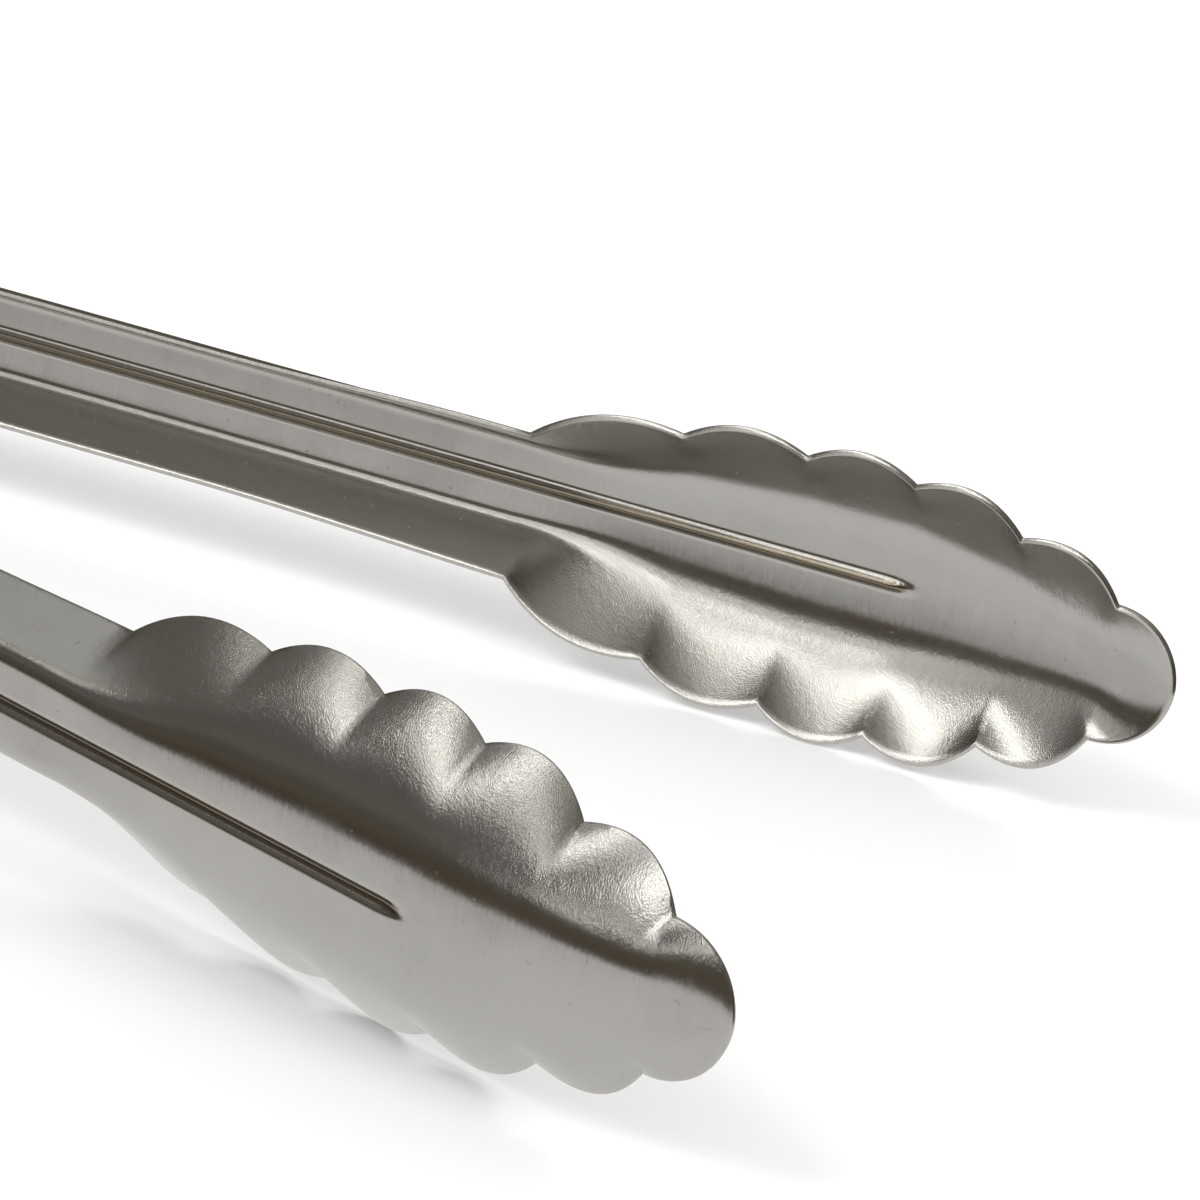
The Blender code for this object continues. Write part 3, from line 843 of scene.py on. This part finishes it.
def arm(name, node, side, ear, stop_corner):
    """One arm: the sheet pressed, trimmed to its ears, bored for the rivet and swung open."""
    piece = object_from(name, thick_sheet(name, ear, side))
    values = {
        "Bulge": 1.0,
        "Bulge Drop": SCALLOP_DROP,
        "Bulge Fade": SCALLOP_FADE,
        "Groove Depth": GROOVE_DEPTH * MM,
        "Groove Half Width": GROOVE_HALF_WIDTH * MM,
        "Groove Start": GROOVE_START * MM,
        "Groove End": GROOVE_END * MM,
        "Run Out": 2 * GROOVE_RUN_OUT * MM,
        "Inward": (0.0, -side, 0.0),
        "Material": SHEET_STEEL,
    }
    use_tree(piece, PRESSING, values)
    edge = ear_outline(stop_corner)
    below = [(edge[-1][0], TRIM_FLOOR), (edge[0][0], TRIM_FLOOR)]
    past = 2 * ear
    trim = prism(name + "_trim", [(x, side * h) for x, h in edge + below], past)
    drill = turned(name + "_drill", [(0, -past), (BORE, -past), (BORE, past), (0, past)])
    cut(piece, trim, "Ears")
    cut(piece, drill, "Rivet hole")
    settle(piece, Matrix.Translation(HINGE) @ Matrix.Rotation(side * HALF_OPENING, 4, "Z"))
    for cutter in (trim, drill):
        bpy.data.objects.remove(cutter, do_unlink=True)
    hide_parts(node)
    return piece


def at_hinge(piece, node):
    """Settles a turned piece on the rivet's line and lets it ride with the rear arm."""
    piece.data.materials.append(RIVET_STEEL)
    settle(piece, Matrix.Translation(HINGE))
    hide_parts(node)
    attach(piece, "rear_arm_and_hinge")


def rivet():
    """Domed head above the ears, and a formed tail below the washer."""
    under_head = OUTER_EAR + SEAT_GAP
    over_tail = -(OUTER_EAR + 2 * SEAT_GAP + WASHER_THICKNESS)
    tail_end = over_tail - RIVET_TAIL_HEIGHT
    rounding = [pi / 2 * step / ROUNDING_STEPS for step in range(ROUNDING_STEPS + 1)]
    profile = [(0.0, tail_end)]
    for turn in rounding:
        radius = mix(RIVET_TAIL_FLAT, RIVET_TAIL_RADIUS, sin(turn))
        profile.append((radius, tail_end + RIVET_TAIL_ROUND * (1.0 - cos(turn))))
    profile += [(RIVET_TAIL_RADIUS - SMALL_ROUND, over_tail), (RIVET_RADIUS, over_tail)]
    profile += [(RIVET_RADIUS, under_head), (RIVET_HEAD_RADIUS - SMALL_ROUND, under_head)]
    profile.append((RIVET_HEAD_RADIUS, under_head + SMALL_ROUND))
    for turn in rounding[:-1]:
        rise = mix(RIVET_HEAD_SIDE, RIVET_HEAD_HEIGHT, sin(turn))
        profile.append((RIVET_HEAD_RADIUS * cos(turn), under_head + rise))
    profile.append((0.0, under_head + RIVET_HEAD_HEIGHT))
    at_hinge(turned("hinge_rivet_finished", profile), "hinge_rivet")


def tube(name, inside, outside, bottom, top, node):
    """A washer or sleeve with its edges broken."""
    r = SMALL_ROUND
    profile = [(inside, bottom + r), (inside + r, bottom), (outside - r, bottom), (outside, bottom + r)]
    profile += [(outside, top - r), (outside - r, top), (inside + r, top), (inside, top - r)]
    at_hinge(turned(name, profile), node)


def spring_path():
    """Centre line of the wire, from the front arm's leg round the coil to the rear arm's leg, in mm."""
    radius = BORE + SLEEVE_WALL + COIL_PLAY + WIRE_RADIUS
    rest_height = WEB_INSIDE - SEAT_GAP - WIRE_RADIUS
    lean = asin(rest_height / hypot(radius, LEG_LENGTH)) - atan2(radius, LEG_LENGTH)
    leg_angle = HALF_OPENING + lean
    sweep = COIL_HALF_TURNS * pi - 2 * leg_angle
    coil_half = 0.5 * COIL_PITCH * sweep / (2 * pi)
    start_angle = -leg_angle - pi / 2
    count = COIL_HALF_TURNS * COIL_STEPS
    coil = []
    for step in range(count + 1):
        turn = start_angle - sweep * step / count
        height = mix(-coil_half, coil_half, step / count)
        coil.append(Vector((radius * cos(turn), radius * sin(turn), height)))
    leg = Vector((cos(leg_angle), sin(leg_angle))) * LEG_LENGTH
    front_end = coil[0] + Vector((leg.x, -leg.y, coil_half - LEG_END_ACROSS))
    rear_end = coil[-1] + Vector((leg.x, leg.y, LEG_END_ACROSS - coil_half))
    front_leg = [front_end.lerp(coil[0], step / LEG_STEPS) for step in range(LEG_STEPS)]
    rear_leg = [coil[-1].lerp(rear_end, step / LEG_STEPS) for step in range(1, LEG_STEPS + 1)]
    return front_leg + coil + rear_leg


def spring():
    """The torsion spring, which winds up between the two arms."""
    path = spring_path()
    mesh = bpy.data.meshes.new("torsion_spring_wire")
    mesh.from_pydata([tuple(p * MM) for p in path], [(i, i + 1) for i in range(len(path) - 1)], [])
    piece = object_from("torsion_spring_wire", mesh)
    use_tree(piece, WIRE, {"Wire Radius": WIRE_RADIUS * MM, "Facets": WIRE_FACETS, "Material": WIRE_STEEL})
    settle(piece, Matrix.Translation(HINGE))
    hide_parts("torsion_spring")
    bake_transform(piece)


PRESSING = pressing_tree()
WIRE = wire_tree()
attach(arm("rear_arm_pressed", "rear_arm", 1, OUTER_EAR, False), "rear_arm_and_hinge")
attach(arm("front_arm_pressed", "front_arm", -1, INNER_EAR, True), "front_arm")
rivet()
WASHER_TOP = -(OUTER_EAR + SEAT_GAP)
tube("rivet_washer_finished", BORE, WASHER_RADIUS, WASHER_TOP - WASHER_THICKNESS, WASHER_TOP, "rivet_washer")
HALF_SLEEVE = INNER_EAR_INSIDE - SEAT_GAP
tube("spring_sleeve_finished", BORE, BORE + SLEEVE_WALL, -HALF_SLEEVE, HALF_SLEEVE, "spring_sleeve")
spring()


# Stage: a pale floor, and what only the metal shows: a white sheet low down, a dim room above it and glowing
# panels. Directions are in degrees from the heads: azimuth from +X towards +Y, then elevation.
HEADS = Vector((0.14, 0.0, 0.03))
FLOOR_RADIUS = 12.0
FLOOR_COLOUR = (0.86, 0.86, 0.86)
FLOOR_GLOW = 0.08
BLACK = (0.0, 0.0, 0.0)
PAPER_ROUGHNESS = 0.9
SHEET_DROP = 0.5
SHEET_EDGE = radians(-19.0)
SHEET_GLOW = 0.84
ROUND_STEPS = 64

# The room's shade at each elevation, and how much its patches vary.
ROOM_RADIUS = 3.0
ROOM_RINGS = 24
ROOM_OVERLAP = radians(14.0)
ROOM_SHADES = (
    (-18.0, (0.045, 0.038, 0.032)),
    (-12.0, (0.085, 0.066, 0.045)),
    (-4.0, (0.10, 0.085, 0.062)),
    (8.0, (0.105, 0.095, 0.08)),
    (22.0, (0.17, 0.16, 0.145)),
    (38.0, (0.14, 0.135, 0.125)),
    (48.0, (0.24, 0.23, 0.21)),
    (75.0, (0.42, 0.41, 0.38)),
)
PATCHES = 1.3
PATCH_SPAN = (0.35, 0.65, 0.75, 1.3)

# Panels: azimuth, elevation, the angles they fill across and up, and glow.
PANEL_DISTANCE = 1.4
PANELS = (
    ("left_window", -143.0, 58.0, 12.0, 12.0, 5.0),
    ("high_window", -106.0, 54.0, 30.0, 7.0, 2.0),
    ("right_window", -70.0, 38.0, 22.0, 11.0, 5.0),
    ("low_window", -87.0, 20.0, 7.0, 11.0, 3.0),
    ("rear_window", 150.0, 50.0, 32.0, 24.0, 0.7),
)

# Lamps: place, width and height, and watts. The fills light and show in the rear arm alone, from a direction.
LAMP_AIM = (0.1, 0.0, 0.0)
LAMPS = (
    ("key", (-0.9, -1.1, 1.5), (0.9, 0.9), 20.0),
    ("side", (1.6, -0.2, 0.8), (0.6, 0.9), 9.0),
    ("back", (0.1, 1.5, 1.1), (1.2, 0.5), 9.0),
)
FILLS = (
    ("low_fill", (-106.0, 20.0), (1.2, 1.3), 3.0),
    ("high_fill", (-108.0, 58.0), (1.0, 0.4), 3.5),
)
WORLD_LIGHT = 0.75

# Camera: a long lens above and in front of the heads.
LENS = 157.49
SENSOR = 36.0
CLIP = (0.05, 50.0)
CAMERA_PLACE = (0.4057, -0.6085, 0.3088)
CAMERA_RIGHT = Vector((0.8704, 0.4595, 0.1768))
CAMERA_UP = Vector((-0.3233, 0.2626, 0.9091))


def plain_material(name, colour, glow):
    material = bpy.data.materials.new(name)
    material.use_nodes = True
    shader = material.node_tree.nodes["Principled BSDF"]
    shader.inputs["Base Color"].default_value = (*colour, 1.0)
    shader.inputs["Roughness"].default_value = PAPER_ROUGHNESS
    shader.inputs["Emission Color"].default_value = (1.0, 1.0, 1.0, 1.0)
    shader.inputs["Emission Strength"].default_value = glow
    return material


def room_material():
    """A dim warm room: darkest where the white sheet ends, and lighter towards the ceiling."""
    material = bpy.data.materials.new("room_walls")
    material.use_nodes = True
    tree = material.node_tree
    tree.nodes.remove(tree.nodes["Principled BSDF"])
    place = add_node(tree, "ShaderNodeTexCoord").outputs["Object"]
    parts = add_node(tree, "ShaderNodeSeparateXYZ")
    tree.links.new(place, parts.inputs[0])
    height = span(tree, parts.outputs["Z"], -ROOM_RADIUS, ROOM_RADIUS)
    patches = noise(tree, place, PATCHES, detail=1.0)
    shades = add_node(tree, "ShaderNodeValToRGB")
    tree.links.new(height, shades.inputs["Fac"])
    ramp = shades.color_ramp
    ramp.interpolation = "EASE"
    for element, (degrees, colour) in zip(ramp.elements, (ROOM_SHADES[0], ROOM_SHADES[-1])):
        element.position, element.color = elevation(degrees), (*colour, 1.0)
    for degrees, colour in ROOM_SHADES[1:-1]:
        ramp.elements.new(elevation(degrees)).color = (*colour, 1.0)
    glow = add_node(tree, "ShaderNodeEmission")
    tree.links.new(shades.outputs["Color"], glow.inputs["Color"])
    tree.links.new(span(tree, patches, *PATCH_SPAN), glow.inputs["Strength"])
    tree.links.new(glow.outputs[0], tree.nodes["Material Output"].inputs["Surface"])
    return material


def elevation(degrees):
    """Where an elevation, seen from the middle of the room, lies on the ramp from the lowest point up."""
    return 0.5 + 0.5 * sin(radians(degrees))


def towards(azimuth, lift, distance):
    """A point in that direction from the heads."""
    turn, tilt = radians(azimuth), radians(lift)
    return HEADS + distance * Vector((cos(tilt) * cos(turn), cos(tilt) * sin(turn), sin(tilt)))


def disc(name, radius, place):
    shape = bmesh.new()
    bmesh.ops.create_circle(shape, cap_ends=True, radius=radius, segments=ROUND_STEPS)
    bmesh.ops.translate(shape, vec=place, verts=shape.verts)
    return object_from(name, mesh_from(name, shape))


def room(low, radius):
    """The room as a dome that starts below the horizon, where the white sheet ends."""
    shape = bmesh.new()
    rings = []
    turns = [2 * pi * step / ROUND_STEPS for step in range(ROUND_STEPS)]
    for step in range(ROOM_RINGS + 1):
        lift = mix(low, pi / 2, step / ROOM_RINGS)
        reach = radius * cos(lift)
        rings.append([shape.verts.new((reach * cos(t), reach * sin(t), radius * sin(lift))) for t in turns])
    for ring, following in zip(rings, rings[1:]):
        for i in range(ROUND_STEPS):
            shape.faces.new((ring[i], following[i], following[i - 1], ring[i - 1]))
    return object_from("room", mesh_from("room", shape))


def panel(name, azimuth, lift, wide, tall, glow):
    """A glowing panel that faces the heads; wide and tall are the angles it fills."""
    centre = towards(azimuth, lift, PANEL_DISTANCE)
    aim = (HEADS - centre).to_track_quat("Z", "Y").to_matrix().to_4x4()
    shape = bmesh.new()
    bmesh.ops.create_grid(shape, x_segments=1, y_segments=1, size=0.5)
    size = [PANEL_DISTANCE * radians(angle) for angle in (wide, tall)]
    bmesh.ops.scale(shape, vec=(*size, 1.0), verts=shape.verts)
    mesh = mesh_from(name, shape)
    mesh.transform(Matrix.Translation(centre) @ aim)
    piece = object_from(name, mesh)
    mesh.materials.append(plain_material(name, BLACK, glow))
    return piece


def only_in_metal(*pieces):
    for piece in pieces:
        piece.visible_camera = False
        piece.visible_diffuse = False
        piece.visible_shadow = False
        piece.visible_transmission = False


def lamp(name, place, aim, size, power):
    light = bpy.data.lights.new(name, "AREA")
    light.shape = "RECTANGLE"
    light.size, light.size_y = size
    light.energy = power
    holder = bpy.data.objects.new(name, light)
    bpy.context.collection.objects.link(holder)
    holder.location = place
    holder.rotation_euler = (Vector(aim) - Vector(place)).to_track_quat("-Z", "Y").to_euler()
    holder.visible_glossy = False
    return holder


floor = disc("floor", FLOOR_RADIUS, (0.0, 0.0, 0.0))
floor.data.materials.append(plain_material("floor_paper", FLOOR_COLOUR, FLOOR_GLOW))
floor.visible_glossy = False
sheet_radius = (SHEET_DROP + HEADS.z) / -sin(SHEET_EDGE) * cos(SHEET_EDGE)
white_sheet = disc("white_sheet", sheet_radius, (HEADS.x, HEADS.y, -SHEET_DROP))
white_sheet.data.materials.append(plain_material("white_sheet", BLACK, SHEET_GLOW))
walls = room(SHEET_EDGE - ROOM_OVERLAP, ROOM_RADIUS)
walls.data.materials.append(room_material())
panels = [panel(*row) for row in PANELS]
only_in_metal(white_sheet, walls, *panels)
lamps = [lamp(name, place, LAMP_AIM, size, power) for name, place, size, power in LAMPS]
rear_only = bpy.data.collections.new("rear_arm_only")
rear_only.objects.link(bpy.data.objects["rear_arm_pressed"])
fills = [lamp(name, towards(*way, PANEL_DISTANCE), HEADS, size, power) for name, way, size, power in FILLS]
for fill in fills:
    fill.visible_glossy = True
    fill.light_linking.receiver_collection = rear_only


def white_surroundings():
    """White where the camera or the metal looks past the floor, softer where it lights the scene."""
    world = bpy.data.worlds.new("surroundings")
    bpy.context.scene.world = world
    world.use_nodes = True
    tree = world.node_tree
    seen = add_node(tree, "ShaderNodeLightPath").outputs
    shown = math_node(tree, "ADD", seen["Is Camera Ray"], seen["Is Glossy Ray"])
    shown = math_node(tree, "MINIMUM", math_node(tree, "ADD", shown, seen["Is Transmission Ray"]), 1.0)
    background = tree.nodes["Background"]
    background.inputs["Color"].default_value = (1.0, 1.0, 1.0, 1.0)
    tree.links.new(span(tree, shown, 0.0, 1.0, WORLD_LIGHT, 1.0), background.inputs["Strength"])


def camera():
    """Puts the camera in its place, square to its right and up directions."""
    data = bpy.data.cameras.new("camera")
    data.lens = LENS
    data.sensor_width = SENSOR
    data.dof.use_dof = False
    data.clip_start, data.clip_end = CLIP
    holder = bpy.data.objects.new("camera", data)
    bpy.context.collection.objects.link(holder)
    turn = Matrix((CAMERA_RIGHT, CAMERA_UP, CAMERA_RIGHT.cross(CAMERA_UP))).transposed()
    holder.matrix_world = Matrix.Translation(CAMERA_PLACE) @ turn.to_4x4()
    bpy.context.scene.camera = holder


white_surroundings()
camera()
bpy.context.scene.view_settings.view_transform = "Standard"
